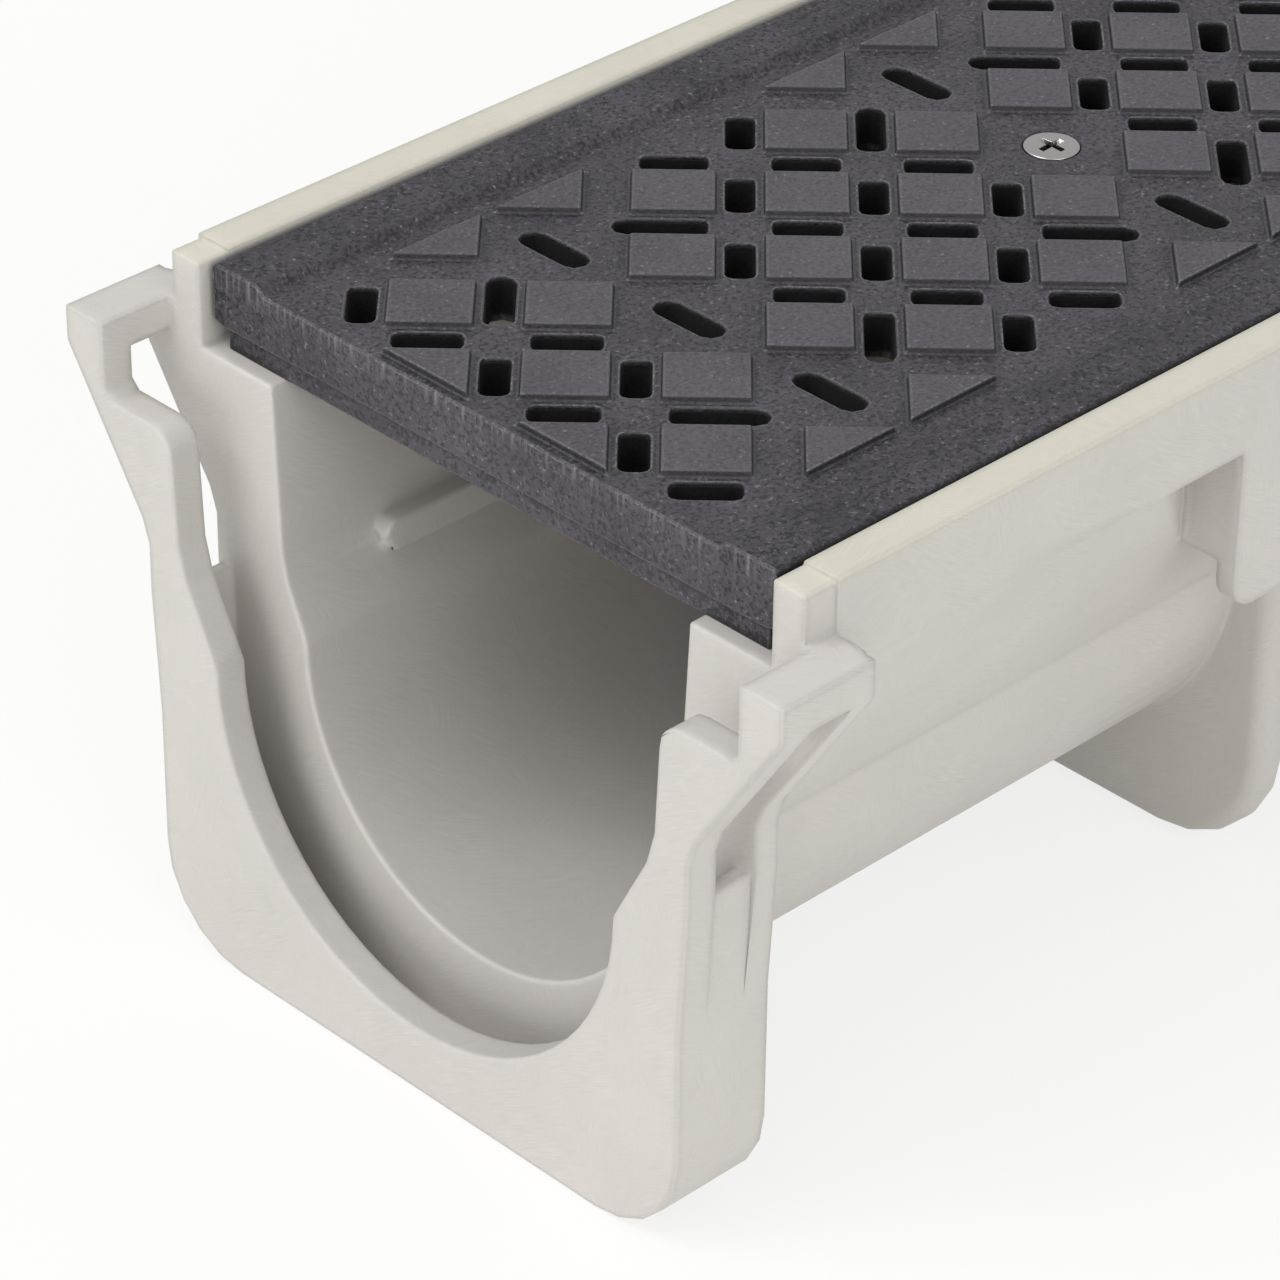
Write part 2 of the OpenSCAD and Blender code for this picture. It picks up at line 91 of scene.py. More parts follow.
# glass-fibre reinforced composite, press moulded: pale ivory, matt, with short fibres just under the
# skin that lie in patches of one direction, so the flat faces look lightly brushed
composite = {
    "ivory": "#C9C5C0",
    "warmTop": "#CFCBBE",
    "fibreLight": "#E2DFD8",
    "strokeLengthMm": 5.0,
    "strokeWidthMm": 0.26,  # real fibres are about 0.1 mm, which the render can't show
    "strokeTurns": [12, 58, 104, 149],
    "strokeDepth": 0.10,
    "bendMm": 4.0,
    "patchMm": 16.0,
    "brightShare": 0.16,
    "mottleMm": 30.0,
    "mottleLow": 0.96,
    "mottleHigh": 1.03,
    "sideHeight": 0.1176,
    "rimHeight": 0.1183,
    "footSide": 0.0570,
    "cornerMm": 1.4,
    "footCornerMm": 2.6,
    "roughness": 0.5,
}


def makeComposite():
    material, tree, surface = newMaterial("mouldedGlassFibreComposite")
    place = addNode(tree, "TexCoord").outputs["Object"]
    faceMm = addNode(tree, "UVMap", {"uv_map": "faceMm"}).outputs["UV"]
    # slow bending of the fibres, so that none is ruler straight
    bend = addNode(tree, "TexNoise", {"Scale": 0.06, "Detail": 1.0}, {"Vector": faceMm})
    bendMm = composite["bendMm"]
    bent = addNode(tree, "VectorMath", {"operation": "MULTIPLY_ADD", 1: (bendMm, bendMm, 0)},
                   {0: bend.outputs["Color"], 2: faceMm})
    strokes, bright = None, None
    for index, turn in enumerate(composite["strokeTurns"]):
        laid = addNode(tree, "Mapping",
                       {"vector_type": "TEXTURE", "Rotation": (0, 0, math.radians(turn)),
                        "Location": (37.0 * index, 11.0 * index, 0),
                        "Scale": (composite["strokeLengthMm"], composite["strokeWidthMm"], 1)},
                       {"Vector": bent.outputs[0]})
        stroke = addNode(tree, "TexNoise", {"noise_dimensions": "2D", "Scale": 1.0, "Detail": 1.5},
                         {"Vector": laid.outputs[0]}).outputs["Fac"]
        fibre = addNode(tree, "MapRange", {"From Min": 0.72, "From Max": 0.84}, {"Value": stroke}).outputs[0]
        if strokes is None:
            strokes, bright = stroke, fibre
            continue
        shifted = addNode(tree, "Mapping", {"Location": (71.0 * index, 53.0 * index, 0)}, {"Vector": faceMm})
        patch = addNode(tree, "TexNoise", {"Scale": 1 / composite["patchMm"], "Detail": 2.0},
                        {"Vector": shifted.outputs[0]})
        patchShare = addNode(tree, "MapRange", {"From Min": 0.40, "From Max": 0.60},
                             {"Value": patch.outputs["Fac"]}).outputs[0]
        strokes = addNode(tree, "Mix", {"data_type": "FLOAT"},
                          {0: patchShare, 2: strokes, 3: stroke}).outputs[0]
        bright = addNode(tree, "Math", {"operation": "MAXIMUM"}, {0: bright, 1: fibre}).outputs[0]
    # the tops of the rims are warmer than the sides
    parts = addNode(tree, "SeparateXYZ", {}, {0: place})
    topness = addNode(tree, "MapRange",
                      {"From Min": composite["sideHeight"], "From Max": composite["rimHeight"]},
                      {"Value": parts.outputs["Z"]}).outputs[0]
    tint = addNode(tree, "MixRGB",
                   {1: linearColour(composite["ivory"]), 2: linearColour(composite["warmTop"])},
                   {0: topness}).outputs[0]
    mottle = addNode(tree, "TexNoise", {"Scale": 1000 / composite["mottleMm"], "Detail": 4.0},
                     {"Vector": place}).outputs["Fac"]
    mottleLevel = addNode(tree, "MapRange",
                          {"From Min": 0.3, "From Max": 0.7,
                           "To Min": composite["mottleLow"], "To Max": composite["mottleHigh"]},
                          {"Value": mottle}).outputs[0]
    strokeLevel = addNode(tree, "MapRange", {"From Min": 0.25, "From Max": 0.75,
                                             "To Min": 1 - composite["strokeDepth"] / 2,
                                             "To Max": 1 + composite["strokeDepth"] / 2},
                          {"Value": strokes}).outputs[0]
    level = addNode(tree, "Math", {"operation": "MULTIPLY"}, {0: mottleLevel, 1: strokeLevel}).outputs[0]
    toned = addNode(tree, "VectorMath", {"operation": "SCALE"}, {0: tint, 3: level}).outputs[0]
    brightShare = addNode(tree, "Math", {"operation": "MULTIPLY", 1: composite["brightShare"]},
                          {0: bright}).outputs[0]
    coloured = addNode(tree, "MixRGB", {2: linearColour(composite["fibreLight"])},
                       {0: brightShare, 1: toned}).outputs[0]
    tree.links.new(coloured, surface.inputs["Base Color"])
    # moulded corners are softer than the mesh, inside corners too, and softest on the sides of the feet
    side = addNode(tree, "Math", {"operation": "ABSOLUTE"}, {0: parts.outputs["Y"]}).outputs[0]
    corner = addNode(tree, "MapRange",
                     {"From Min": composite["footSide"] - 1.5 * mm,
                      "From Max": composite["footSide"] + 1.5 * mm,
                      "To Min": composite["cornerMm"] * mm, "To Max": composite["footCornerMm"] * mm},
                     {"Value": side}).outputs[0]
    softened = addNode(tree, "Bevel", {"samples": 8}, {"Radius": corner})
    bump = addNode(tree, "Bump", {"Strength": 0.10, "Distance": 0.05 * mm},
                   {"Height": strokes, "Normal": softened.outputs[0]})
    tree.links.new(bump.outputs[0], surface.inputs["Normal"])
    surface.inputs["Roughness"].default_value = composite["roughness"]
    surface.inputs["IOR"].default_value = 1.5
    return material


# ductile iron, sand cast and dipped in a dark violet-grey coat: sandy grain with black pits and
# bright specks, pale rubbed edges, painted shade inside the slots, in inward corners and round the feet of
# the squares
castIron = {
    "coat": "#232027",
    "coatLight": "#535057",
    # near black, for the pits and for the painted shade
    "pitAndShadeDark": "#060508",
    "bare": "#A3A1A6",
    "grainMm": 0.36,
    "pitMm": 0.42,
    "patchMm": 8.0,
    # how far the ambient occlusion reaches for the painted shade
    "paintedShadeReachMm": 2.4,
    "rubMm": 0.7,
    "bumpMm": 0.26,
    "streakMm": 0.6,
    "streakLengthMm": 500 / 60,
    "patchShare": 0.36,
    "grainShare": 0.36,
    "wearAndSheenShare": 0.50,
    "rubShare": 0.85,
    "speckShare": 0.40,
    "markShare": 0.42,
    "walkHeight": 0.1171,  # the plate between the squares, above the ground
    "borderSide": 0.0515,
    "treadSide": 0.0490,
    "dressedLow": 0.1135,
    "dressedHigh": 0.1165,
    "middleX": 0.007,
    "halfLength": 0.2500,
    "slotDepthMm": 6.5,
}


def makeCastIron():
    material, tree, surface = newMaterial("dippedSandCastIron")
    walk, halfLength = castIron["walkHeight"], castIron["halfLength"]
    place = addNode(tree, "TexCoord").outputs["Object"]
    parts = addNode(tree, "SeparateXYZ", {}, {0: place})
    x, y, z = (parts.outputs[axis] for axis in "XYZ")
    grain = addNode(tree, "TexNoise", {"Scale": 500 / castIron["grainMm"], "Detail": 3.0},
                    {"Vector": place}).outputs["Fac"]
    pitPlace = addNode(tree, "VectorMath", {1: (3.1, 1.7, 0.9)}, {0: place}).outputs[0]
    pit = addNode(tree, "TexNoise", {"Scale": 500 / castIron["pitMm"], "Detail": 2.0, "Roughness": 0.6},
                  {"Vector": pitPlace}).outputs["Fac"]
    patch = addNode(tree, "TexNoise", {"Scale": 500 / castIron["patchMm"], "Detail": 4.0},
                    {"Vector": place}).outputs["Fac"]
    patchLevel = addNode(tree, "MapRange", {"From Min": 0.32, "From Max": 0.68}, {"Value": patch}).outputs[0]
    grainLevel = addNode(tree, "MapRange", {"From Min": 0.40, "From Max": 0.60}, {"Value": grain}).outputs[0]
    # the tops of the squares are painted lighter than the plate, and the plate than the plain borders, partly
    # as wear and partly as painted sheen
    side = addNode(tree, "Math", {"operation": "ABSOLUTE"}, {0: y}).outputs[0]
    inner = addNode(tree, "MapRange", {"From Min": castIron["borderSide"], "From Max": castIron["treadSide"]},
                    {"Value": side}).outputs[0]
    raised = addNode(tree, "MapRange",
                     {"From Min": walk + 0.5 * mm, "From Max": walk + 0.9 * mm, "To Min": 0.35},
                     {"Value": z}).outputs[0]
    wearAndSheen = addNode(tree, "Math", {"operation": "MULTIPLY"}, {0: inner, 1: raised}).outputs[0]
    tone = addNode(tree, "Math", {"operation": "MULTIPLY", 1: castIron["patchShare"]},
                   {0: patchLevel}).outputs[0]
    toneGrain = addNode(tree, "Math", {"operation": "MULTIPLY_ADD", 1: castIron["grainShare"]},
                        {0: grainLevel, 2: tone}).outputs[0]
    # the coat is lightened by the wear and painted sheen on the tops of the squares
    toneWearAndSheen = addNode(tree, "Math",
                       {"operation": "MULTIPLY_ADD", 1: castIron["wearAndSheenShare"], "use_clamp": True},
                       {0: wearAndSheen, 2: toneGrain}).outputs[0]
    coat = addNode(tree, "MixRGB",
                   {1: linearColour(castIron["coat"]), 2: linearColour(castIron["coatLight"])},
                   {0: toneWearAndSheen}).outputs[0]
    # black pits, fewer on the tops of the squares, and crowded round their feet by ambient occlusion, which
    # paints shade there as a dark halo
    openness = addNode(tree, "AmbientOcclusion",
                       {"samples": 8, "Distance": castIron["paintedShadeReachMm"] * mm}).outputs["AO"]
    crowded = addNode(tree, "Math", {"operation": "MULTIPLY_ADD", 1: -0.55}, {0: openness, 2: pit}).outputs[0]
    pitAndShadeShare = addNode(tree, "MapRange", {"From Min": -0.02, "From Max": 0.05, "To Max": 0.9},
                       {"Value": crowded}).outputs[0]
    pitCalm = addNode(tree, "MapRange", {"To Min": 1.0, "To Max": 0.35}, {"Value": wearAndSheen}).outputs[0]
    pitsAndPaintedShade = addNode(tree, "Math", {"operation": "MULTIPLY"}, {0: pitAndShadeShare, 1: pitCalm}).outputs[0]
    # painted shade where two faces meet inwards, and all the way down the slots
    shut = addNode(tree, "MapRange", {"From Min": 0.88, "From Max": 0.55, "To Max": 0.9},
                   {"Value": openness}).outputs[0]
    ragged = addNode(tree, "Math", {"operation": "MULTIPLY_ADD", 1: 0.5 * mm, 2: -0.25 * mm},
                     {0: grain}).outputs[0]
    depth = addNode(tree, "Math", {"operation": "SUBTRACT"}, {0: z, 1: ragged}).outputs[0]
    down = addNode(tree, "MapRange", {"From Min": walk - 0.25 * mm, "From Max": walk - 0.9 * mm},
                   {"Value": depth}).outputs[0]
    notBelow = addNode(tree, "MapRange", {"From Min": walk - (castIron["slotDepthMm"] + 1) * mm,
                                          "From Max": walk - castIron["slotDepthMm"] * mm, "To Min": 0.25},
                       {"Value": z}).outputs[0]
    fromMiddle = addNode(tree, "Math", {"operation": "SUBTRACT", 1: castIron["middleX"]}, {0: x}).outputs[0]
    endward = addNode(tree, "Math", {"operation": "ABSOLUTE"}, {0: fromMiddle}).outputs[0]
    alongGrate = addNode(tree, "MapRange",
                         {"From Min": halfLength - 1.3 * mm, "From Max": halfLength - 1.5 * mm},
                         {"Value": endward}).outputs[0]
    downPlate = addNode(tree, "Math", {"operation": "MULTIPLY"}, {0: down, 1: notBelow}).outputs[0]
    downInner = addNode(tree, "Math", {"operation": "MULTIPLY"}, {0: downPlate, 1: inner}).outputs[0]
    inSlot = addNode(tree, "Math", {"operation": "MULTIPLY"}, {0: downInner, 1: alongGrate}).outputs[0]
    # the leaning sides of the squares get more painted shade than their tops
    facing = addNode(tree, "NewGeometry").outputs["Normal"]
    upward = addNode(tree, "SeparateXYZ", {}, {0: facing}).outputs["Z"]
    leaning = addNode(tree, "MapRange", {"From Min": 0.75, "From Max": 0.50, "To Max": 0.85},
                      {"Value": upward}).outputs[0]
    leaningInner = addNode(tree, "Math", {"operation": "MULTIPLY"}, {0: leaning, 1: inner}).outputs[0]
    leaningGrate = addNode(tree, "Math", {"operation": "MULTIPLY"},
                           {0: leaningInner, 1: alongGrate}).outputs[0]
    shutOrLeaning = addNode(tree, "Math", {"operation": "MAXIMUM"}, {0: shut, 1: leaningGrate}).outputs[0]
    paintedShade = addNode(tree, "Math", {"operation": "MAXIMUM"}, {0: shutOrLeaning, 1: inSlot}).outputs[0]
    darkShare = addNode(tree, "Math", {"operation": "MAXIMUM"}, {0: pitsAndPaintedShade, 1: paintedShade}).outputs[0]
    # pits and painted shade both take the near-black colour
    dark = addNode(tree, "MixRGB", {2: linearColour(castIron["pitAndShadeDark"])},
                   {0: darkShare, 1: coat}).outputs[0]
    # rubbed edges: where the rounded normal leaves the face's own
    rounded = addNode(tree, "Bevel", {"samples": 6, "Radius": castIron["rubMm"] * mm}).outputs[0]
    turned = addNode(tree, "VectorMath", {"operation": "DOT_PRODUCT"},
                     {0: rounded, 1: facing}).outputs["Value"]
    edge = addNode(tree, "MapRange", {"From Min": 0.985, "From Max": 0.92}, {"Value": turned}).outputs[0]
    broken = addNode(tree, "MapRange", {"From Min": 0.42, "From Max": 0.56}, {"Value": pit}).outputs[0]
    rub = addNode(tree, "Math", {"operation": "MULTIPLY"}, {0: edge, 1: broken}).outputs[0]
    # rubbed edges and specks are kept out of the painted shade
    outsidePaintedShade = addNode(tree, "Math", {"operation": "SUBTRACT", 0: 1.0, "use_clamp": True}, {1: paintedShade}).outputs[0]
    rubOutsideShade = addNode(tree, "Math", {"operation": "MULTIPLY"}, {0: rub, 1: outsidePaintedShade}).outputs[0]
    rubShare = addNode(tree, "Math", {"operation": "MULTIPLY", 1: castIron["rubShare"]},
                       {0: rubOutsideShade}).outputs[0]
    speck = addNode(tree, "MapRange", {"From Min": 0.64, "From Max": 0.74, "To Max": castIron["speckShare"]},
                    {"Value": grain}).outputs[0]
    speckOutsideShade = addNode(tree, "Math", {"operation": "MULTIPLY"}, {0: speck, 1: outsidePaintedShade}).outputs[0]
    # upright file marks high on the end faces, where the casting was dressed
    filed = addNode(tree, "Mapping",
                    {"Scale": (0, 500 / castIron["streakMm"], 500 / castIron["streakLengthMm"])},
                    {"Vector": place}).outputs[0]
    marks = addNode(tree, "TexNoise", {"Scale": 1.0, "Detail": 2.0}, {"Vector": filed}).outputs["Fac"]
    atEnd = addNode(tree, "MapRange", {"From Min": halfLength - 0.4 * mm, "From Max": halfLength - 0.1 * mm},
                    {"Value": endward}).outputs[0]
    upper = addNode(tree, "MapRange",
                    {"From Min": castIron["dressedLow"], "From Max": castIron["dressedHigh"]},
                    {"Value": z}).outputs[0]
    markShare = addNode(tree, "MapRange",
                        {"From Min": 0.50, "From Max": 0.72, "To Max": castIron["markShare"]},
                        {"Value": marks}).outputs[0]
    markUpper = addNode(tree, "Math", {"operation": "MULTIPLY"}, {0: markShare, 1: upper}).outputs[0]
    markEnd = addNode(tree, "Math", {"operation": "MULTIPLY"}, {0: markUpper, 1: atEnd}).outputs[0]
    bareEdge = addNode(tree, "Math", {"operation": "MAXIMUM"}, {0: rubShare, 1: speckOutsideShade}).outputs[0]
    bareShare = addNode(tree, "Math", {"operation": "MAXIMUM"}, {0: bareEdge, 1: markEnd}).outputs[0]
    colour = addNode(tree, "MixRGB", {2: linearColour(castIron["bare"])}, {0: bareShare, 1: dark}).outputs[0]
    tree.links.new(colour, surface.inputs["Base Color"])
    waves = addNode(tree, "Math", {"operation": "MULTIPLY_ADD", 1: 2.0}, {0: patch, 2: grain}).outputs[0]
    bump = addNode(tree, "Bump", {"Strength": 1.0, "Distance": castIron["bumpMm"] * mm},
                   {"Height": waves, "Normal": rounded}).outputs[0]
    tree.links.new(bump, surface.inputs["Normal"])
    rough = addNode(tree, "MapRange", {"From Min": 0.3, "From Max": 0.7, "To Min": 0.42, "To Max": 0.62},
                    {"Value": grain}).outputs[0]
    roughDeep = addNode(tree, "Math", {"operation": "MAXIMUM"}, {0: rough, 1: inSlot}).outputs[0]
    tree.links.new(roughDeep, surface.inputs["Roughness"])
    surface.inputs["IOR"].default_value = 1.5
    return material


# the two countersunk M5 screws: head a little domed, coarse thread below the grate
screwPiece = {
    "edgeMm": 0.14,
    "segments": 2,
    "angle": 30,
    "alongX": (-0.117, 0.131),
    "topHeight": 0.1171,
    "headRadiusMm": 4.65,
    "domeMm": 0.3,
    "shankRadiusMm": 2.5,
    "rootRadiusMm": 1.9,
    "pitchMm": 0.8,
    "threadTop": 0.1045,
    "threadLow": 0.0876,
    "threadSteps": 24,  # to each turn
    "threadFootMm": 0.36,
    "threadCrestMm": 0.04,
}

# austenitic stainless, turned and tumbled: bright, with faint rings round the head
# shade is the near-black colour of the painted shade below the top of the head
stainless = {"colour": "#B9B7B5", "shade": "#1C1B1D", "ringMm": 0.35, "roughness": 0.3}


def makeStainless():
    material, tree, surface = newMaterial("turnedStainlessSteel")
    surface.inputs["Metallic"].default_value = 1.0
    surface.inputs["Roughness"].default_value = stainless["roughness"]
    place = addNode(tree, "TexCoord").outputs["Object"]
    # painted shade in the cross recess, down the sides of the head and over the shank below it
    height = addNode(tree, "SeparateXYZ", {}, {0: place}).outputs["Z"]
    paintedShadeBelow = addNode(tree, "MapRange", {"From Min": screwPiece["topHeight"] - 0.35 * mm,
                                      "From Max": screwPiece["topHeight"] - 1.1 * mm},
                   {"Value": height}).outputs[0]
    colour = addNode(tree, "MixRGB",
                     {1: linearColour(stainless["colour"]), 2: linearColour(stainless["shade"])},
                     {0: paintedShadeBelow}).outputs[0]
    tree.links.new(colour, surface.inputs["Base Color"])
    # both screws share one local place, by folding the length about the grate's middle
    middleX = castIron["middleX"]
    centred = addNode(tree, "VectorMath", {"operation": "SUBTRACT", 1: (middleX, 0, 0)}, {0: place})
    folded = addNode(tree, "VectorMath", {"operation": "ABSOLUTE"}, {0: centred.outputs[0]})
    local = addNode(tree, "VectorMath",
                    {"operation": "SUBTRACT", 1: (screwPiece["alongX"][1] - middleX, 0, 0)},
                    {0: folded.outputs[0]})
    rings = addNode(tree, "TexWave", {"wave_type": "RINGS", "rings_direction": "Z",
                                      "Scale": 50 / stainless["ringMm"], "Distortion": 0.4},
                    {"Vector": local.outputs[0]})
    bump = addNode(tree, "Bump", {"Strength": 0.12, "Distance": 0.02 * mm}, {"Height": rings.outputs["Fac"]})
    tree.links.new(bump.outputs[0], surface.inputs["Normal"])
    return material


# mild steel strip, sheared and zinc plated: dull blue-grey with soft crystal patches
zincPlate = {"colour": "#9FA3A6", "pale": "#B7BABC", "patchMm": 5.0, "metallic": 0.9, "roughness": 0.42}


def makeZincPlate():
    material, tree, surface = newMaterial("zincPlatedSteel")
    place = addNode(tree, "TexCoord").outputs["Object"]
    patch = addNode(tree, "TexNoise", {"Scale": 500 / zincPlate["patchMm"], "Detail": 3.0},
                    {"Vector": place}).outputs["Fac"]
    colour = addNode(tree, "MixRGB",
                     {1: linearColour(zincPlate["colour"]), 2: linearColour(zincPlate["pale"])},
                     {0: patch}).outputs[0]
    tree.links.new(colour, surface.inputs["Base Color"])
    surface.inputs["Metallic"].default_value = zincPlate["metallic"]
    surface.inputs["Roughness"].default_value = zincPlate["roughness"]
    return material


# how every solid's mesh is cleaned and rounded, apart from what each piece sets for itself
rounding = {
    "weldMm": 0.005,
    "flatDegrees": 0.6,
    "smoothDegrees": 28,
    "wideDegrees": 40,
    "wideSegments": 5,
    "shortest": 0.6,  # of the radius, for an edge that can take it
    "endFootX": -0.238,
    "endFootSide": 0.055,
    "uprightShare": 0.85,
    "uvStepMm": 300,
}


def roundWide(work, place, radiusMm):
    # rounds the sharp outer edges whose middles lie where place says, with x, y and z in mm
    wideAngle = math.radians(rounding["wideDegrees"])
    edges = []
    for edge in work.edges:
        if len(edge.link_faces) == 2 and edge.is_convex and edge.calc_face_angle() > wideAngle:
            middle = (edge.verts[0].co + edge.verts[1].co) / 2 / mm
            if place(middle.x, abs(middle.y), middle.z):
                edges.append(edge)
    bmesh.ops.bevel(work, geom=edges, offset=radiusMm * mm, offset_type="OFFSET", affect="EDGES",
                    segments=rounding["wideSegments"], profile=0.5, clamp_overlap=False, miter_outer="ARC",
                    loop_slide=True)
    print("rounded", len(edges), "edges to", radiusMm, "mm")


def triangulated(work):
    bmesh.ops.triangulate(work, faces=work.faces, quad_method="BEAUTY", ngon_method="BEAUTY")


def onEndFoot(low, high):
    # an upright edge on the outer sides of the end foot
    upright = abs(high.z - low.z) > rounding["uprightShare"] * (high - low).length
    return upright and min(abs(low.y), abs(high.y)) > rounding["endFootSide"] and low.x < rounding["endFootX"]


def roundedPiece(nodeName, pieceName, recipe, material):
    # a copy of the solid with its moulded or cast edges rounded off, standing where the solid stands
    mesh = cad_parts[nodeName].data.copy()
    mesh.name = pieceName
    work = bmesh.new()
    work.from_mesh(mesh)
    bmesh.ops.remove_doubles(work, verts=work.verts, dist=recipe.get("weldMm", rounding["weldMm"]) * mm)
    bmesh.ops.dissolve_limit(work, angle_limit=math.radians(rounding["flatDegrees"]), verts=work.verts,
                             edges=work.edges)
    triangulated(work)
    for place, radiusMm in recipe.get("wide", []):
        roundWide(work, place, radiusMm)
        triangulated(work)
    # edges too short for the radius, and those that meet them, are left to the soft corners of the shading
    weights = work.edges.layers.float.new("bevel_weight_edge")
    sharpAngle = math.radians(recipe["angle"])
    shortest = recipe["edgeMm"] * mm * rounding["shortest"]
    sharp = {e for e in work.edges if len(e.link_faces) == 2 and e.calc_face_angle() > sharpAngle}
    crowded = {v for e in sharp if e.calc_length() < shortest for v in e.verts}
    left = 0
    for edge in sharp:
        if crowded.intersection(edge.verts):
            left += 1
        else:
            edge[weights] = 1.0
    print(pieceName, "leaves", left, "of", len(sharp), "edges unrounded")
    work.to_mesh(mesh)
    work.free()
    mesh.shade_smooth()
    mesh.set_sharp_from_angle(angle=math.radians(rounding["smoothDegrees"]))
    for edge in mesh.edges:
        # faint upright creases on the end foot stay crisp, or the shading smears there
        low, high = (mesh.vertices[v].co for v in edge.vertices)
        if onEndFoot(low, high):
            edge.use_edge_sharp = True
    mesh.materials.clear()
    mesh.materials.append(material)
    rough = bpy.data.objects.new(pieceName + "Rough", mesh)
    scene.collection.objects.link(rough)
    bevel = rough.modifiers.new("roundedEdges", "BEVEL")
    bevel.width = recipe["edgeMm"] * mm
    bevel.segments = recipe["segments"]
    bevel.limit_method = "WEIGHT"
    bevel.use_clamp_overlap = False
    # the large flat faces keep their own direction, and only the rounded edges shade as curves
    even = rough.modifiers.new("flatFacesStayFlat", "WEIGHTED_NORMAL")
    even.keep_sharp = True
    even.weight = 100
    view = bpy.context.evaluated_depsgraph_get()
    finished = bpy.data.meshes.new_from_object(rough.evaluated_get(view))
    bpy.data.objects.remove(rough)
    # each face laid flat in millimetres, for the fibres
    layer = finished.uv_layers.new(name="faceMm")
    for polygon in finished.polygons:
        normal = polygon.normal
        flat = max(range(3), key=lambda axis: abs(normal[axis]))
        across, up = ((1, 2), (0, 2), (0, 1))[flat]
        for corner in polygon.loop_indices:
            point = finished.vertices[finished.loops[corner].vertex_index].co
            layer.data[corner].uv = (point[across] / mm + rounding["uvStepMm"] * flat, point[up] / mm)
    piece = bpy.data.objects.new(pieceName, finished)
    scene.collection.objects.link(piece)
    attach(piece, "root")
    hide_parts(nodeName)
    print(pieceName, "has", len(finished.polygons), "faces")
    return piece


middleFoot = {"alongMm": (-114.5, 128.5), "halfThickMm": 4, "topMm": 85, "nearMm": 0.3}


def onMiddleFoot(x, y, z):
    # both faces of the thin middle feet
    onFace = any(abs(abs(x - foot) - middleFoot["halfThickMm"]) < middleFoot["nearMm"]
                 for foot in middleFoot["alongMm"])
    return onFace and z < middleFoot["topMm"]


channelPiece = {
    "edgeMm": 0.4,
    "segments": 2,
    "angle": 30,
    "weldMm": 0.06,
    "wide": [(onMiddleFoot, 3.2)],
}
gratePiece = {"edgeMm": 0.3, "segments": 2, "angle": 30}

compositeMaterial = makeComposite()
castIronMaterial = makeCastIron()
stainlessMaterial = makeStainless()
zincMaterial = makeZincPlate()

channel = roundedPiece("channel_body", "channelMoulding", channelPiece, compositeMaterial)
grate = roundedPiece("grate", "grateCasting", gratePiece, castIronMaterial)

barPiece = {"edgeMm": 0.6, "segments": 2, "angle": 30}

for end in ("near", "far"):
    bar = roundedPiece("locking_bar_" + end, end + "LockingBar", barPiece, zincMaterial)


def threadedScrew(nodeName, pieceName, alongX):
    # the solid with its head domed, its shank drawn in to the thread's root, and the thread wound on
    piece = roundedPiece(nodeName, pieceName, screwPiece, stainlessMaterial)
    work = bmesh.new()
    work.from_mesh(piece.data)
    root, crest = screwPiece["rootRadiusMm"], screwPiece["shankRadiusMm"]
    for point in work.verts:
        out = math.hypot(point.co.x - alongX, point.co.y) / mm
        if point.co.z > screwPiece["topHeight"] - 0.2 * mm:
            point.co.z += screwPiece["domeMm"] * mm * (1 - (out / screwPiece["headRadiusMm"]) ** 2)
        elif point.co.z < screwPiece["threadTop"] and out > 1:
            point.co.x = alongX + (point.co.x - alongX) * root / crest
            point.co.y *= root / crest
    # one ridge of four points, wound up the shank
    foot, tip = screwPiece["threadFootMm"], screwPiece["threadCrestMm"]
    ridge = ((root, -foot), (crest, -tip), (crest, tip), (root, foot))
    rise = screwPiece["threadTop"] - screwPiece["threadLow"]
    steps = int(rise / mm / screwPiece["pitchMm"] * screwPiece["threadSteps"])
    previous = None
    for step in range(steps + 1):
        turn = step / screwPiece["threadSteps"] * 2 * math.pi
        height = screwPiece["threadLow"] + rise * step / steps
        ring = [work.verts.new((alongX + radiusMm * mm * math.cos(turn), radiusMm * mm * math.sin(turn),
                                height + upMm * mm)) for radiusMm, upMm in ridge]
        if previous:
            for a in range(len(ridge) - 1):
                work.faces.new((previous[a], ring[a], ring[a + 1], previous[a + 1])).smooth = True
        previous = ring
    work.to_mesh(piece.data)
    work.free()


threadedScrew("locking_screw_near", "nearLockingScrew", screwPiece["alongX"][0])
threadedScrew("locking_screw_far", "farLockingScrew", screwPiece["alongX"][1])
print("pieces finished")


# pale card floor, which shows near white to the camera and keeps a soft shadow, and the lamps
studio = {
    "floorColour": "#F2F1EE",
    "floorSize": 6.0,
    "shadowShare": 0.22,
    "worldLevel": 0.64,
    "keyWatts": 19.5,
    "fillWatts": 12.0,
    "frontWatts": 2.0,
}

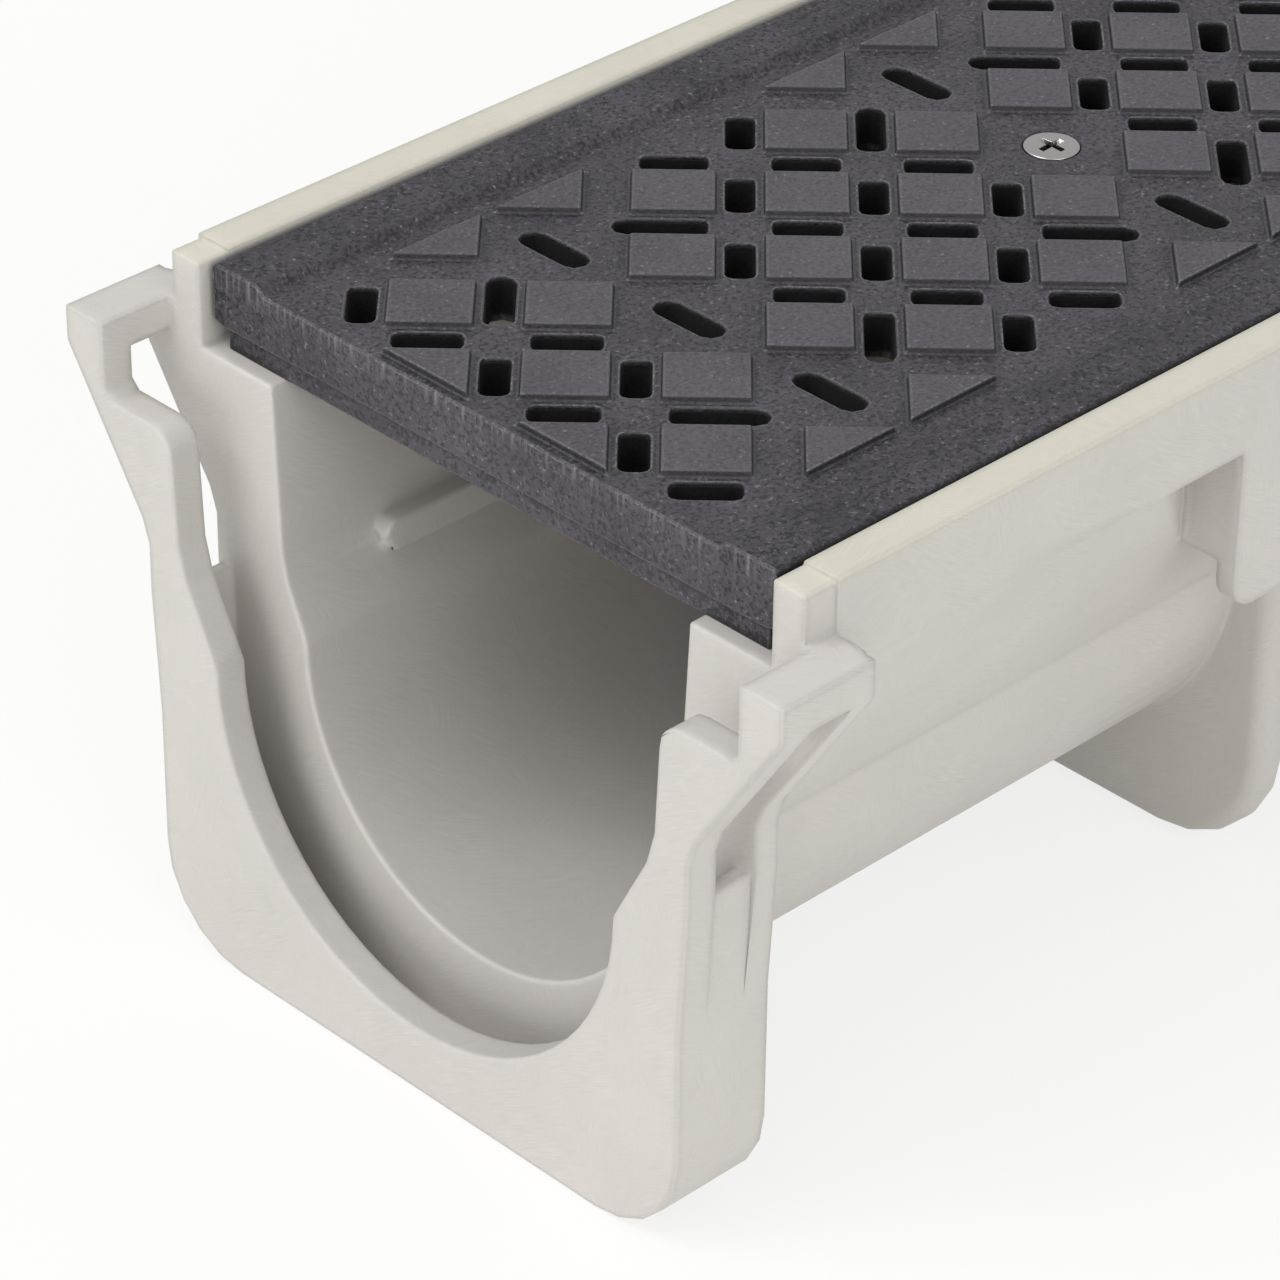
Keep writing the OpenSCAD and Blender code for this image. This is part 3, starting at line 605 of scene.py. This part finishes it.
floorMesh = bpy.data.meshes.new("studioFloor")
half = studio["floorSize"] / 2
corners = [(-half, -half, 0), (half, -half, 0), (half, half, 0), (-half, half, 0)]
floorMesh.from_pydata(corners, [], [(0, 1, 2, 3)])
floor = bpy.data.objects.new("studioFloor", floorMesh)
floor.location.z = -0.1 * mm
scene.collection.objects.link(floor)
floorMaterial = bpy.data.materials.new("paleCard")
floorMaterial.use_nodes = True
tree = floorMaterial.node_tree
tree.nodes.clear()
card = addNode(tree, "BsdfDiffuse", {"Color": linearColour(studio["floorColour"])})
glow = addNode(tree, "Emission", {"Color": (1, 1, 1, 1), "Strength": 1.0})
seen = addNode(tree, "LightPath")
seenDirect = addNode(tree, "Math", {"operation": "MAXIMUM"},
                     {0: seen.outputs["Is Camera Ray"], 1: seen.outputs["Is Glossy Ray"]}).outputs[0]
share = addNode(tree, "Math", {"operation": "MULTIPLY", 1: 1 - studio["shadowShare"]},
                {0: seenDirect}).outputs[0]
mixed = addNode(tree, "MixShader", {}, {0: share, 1: card.outputs[0], 2: glow.outputs[0]})
addNode(tree, "OutputMaterial", {}, {"Surface": mixed.outputs[0]})
floorMesh.materials.append(floorMaterial)

# world: even studio light, white where the camera or a reflection sees it
world = bpy.data.worlds.new("studioWorld")
scene.world = world
world.use_nodes = True
tree = world.node_tree
tree.nodes.clear()
seen = addNode(tree, "LightPath")
seenDirect = addNode(tree, "Math", {"operation": "MAXIMUM"},
                     {0: seen.outputs["Is Camera Ray"], 1: seen.outputs["Is Transmission Ray"]}).outputs[0]
level = addNode(tree, "MapRange", {"To Min": studio["worldLevel"], "To Max": 1.0},
                {"Value": seenDirect}).outputs[0]
sky = addNode(tree, "Background", {"Color": (1, 1, 1, 1)}, {"Strength": level})
addNode(tree, "OutputWorld", {}, {"Surface": sky.outputs[0]})


def softBox(name, place, target, size, watts):
    # a white area lamp that looks at the target
    lamp = bpy.data.lights.new(name, "AREA")
    lamp.shape = "RECTANGLE"
    lamp.size, lamp.size_y = size
    lamp.energy = watts
    box = bpy.data.objects.new(name, lamp)
    box.location = place
    box.rotation_euler = (Vector(target) - Vector(place)).to_track_quat("-Z", "Y").to_euler()
    scene.collection.objects.link(box)


softBox("keySoftBox", (-1.3, 0.5, 1.7), (-0.1, 0, 0.06), (1.2, 1.2), studio["keyWatts"])
softBox("fillSoftBox", (-0.6, -1.9, 0.9), (-0.1, 0, 0.06), (1.4, 1.0), studio["fillWatts"])
softBox("frontSoftBox", (-1.7, -0.1, 0.30), (-0.2, 0, 0.05), (1.0, 0.6), studio["frontWatts"])
print("studio lit")
